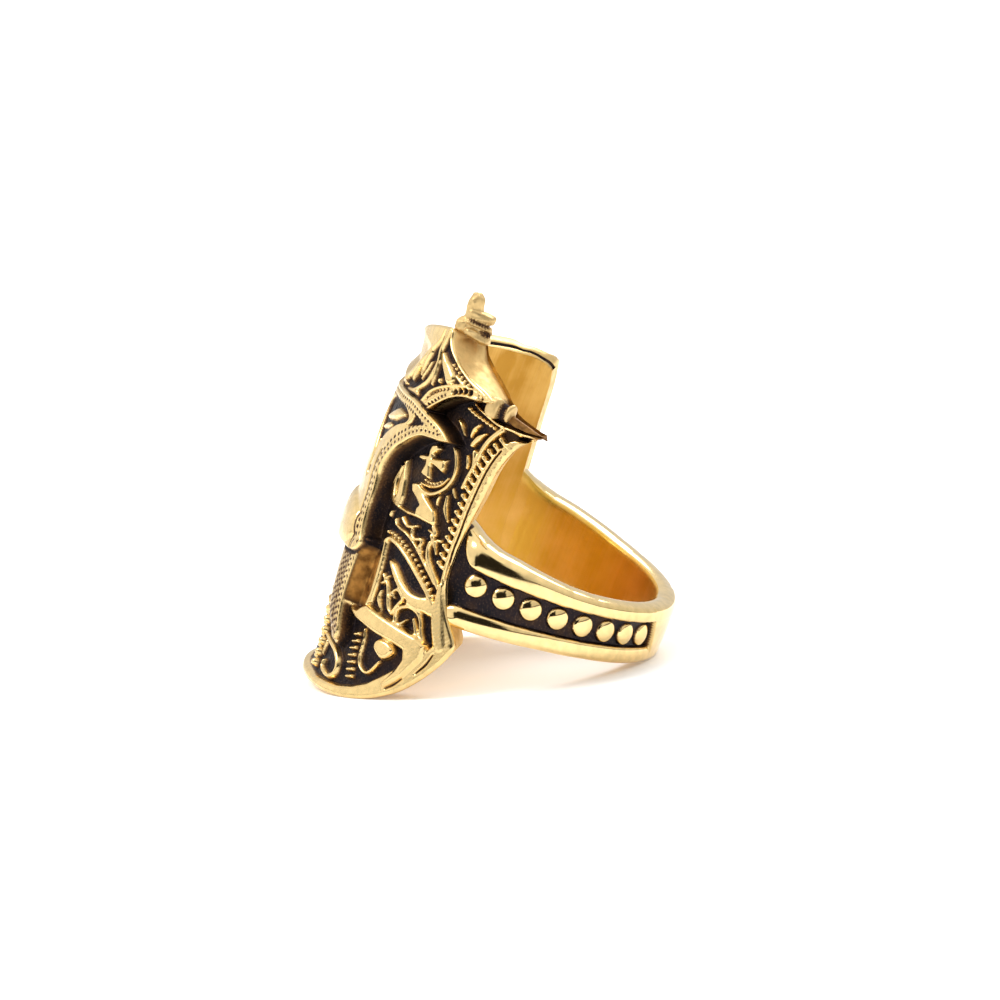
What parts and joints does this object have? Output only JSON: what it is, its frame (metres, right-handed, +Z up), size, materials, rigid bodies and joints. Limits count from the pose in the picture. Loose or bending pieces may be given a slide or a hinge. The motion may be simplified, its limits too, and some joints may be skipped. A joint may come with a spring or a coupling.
{
  "type": "galleon ring",
  "caption": "Cast gold-tone finger ring with a tall curved plate of sails, prow and hull in antiqued relief and a beaded band.",
  "frame": {"origin": "floor under the middle of the ring's footprint, with the ring lying on its side as it rests by itself", "axes": "+Z up, -Y to the front of the plate, +X to the decorated side; the finger axis leans 26.7 degrees from +Z towards +Y"},
  "size_m": [0.0268, 0.0272, 0.0283],
  "materials": {
    "antiqued_gold": "polished gold plate, blackened in the recesses"
  },
  "bodies": {
    "root": {"ring": "antiqued_gold"}
  },
  "joints": []
}
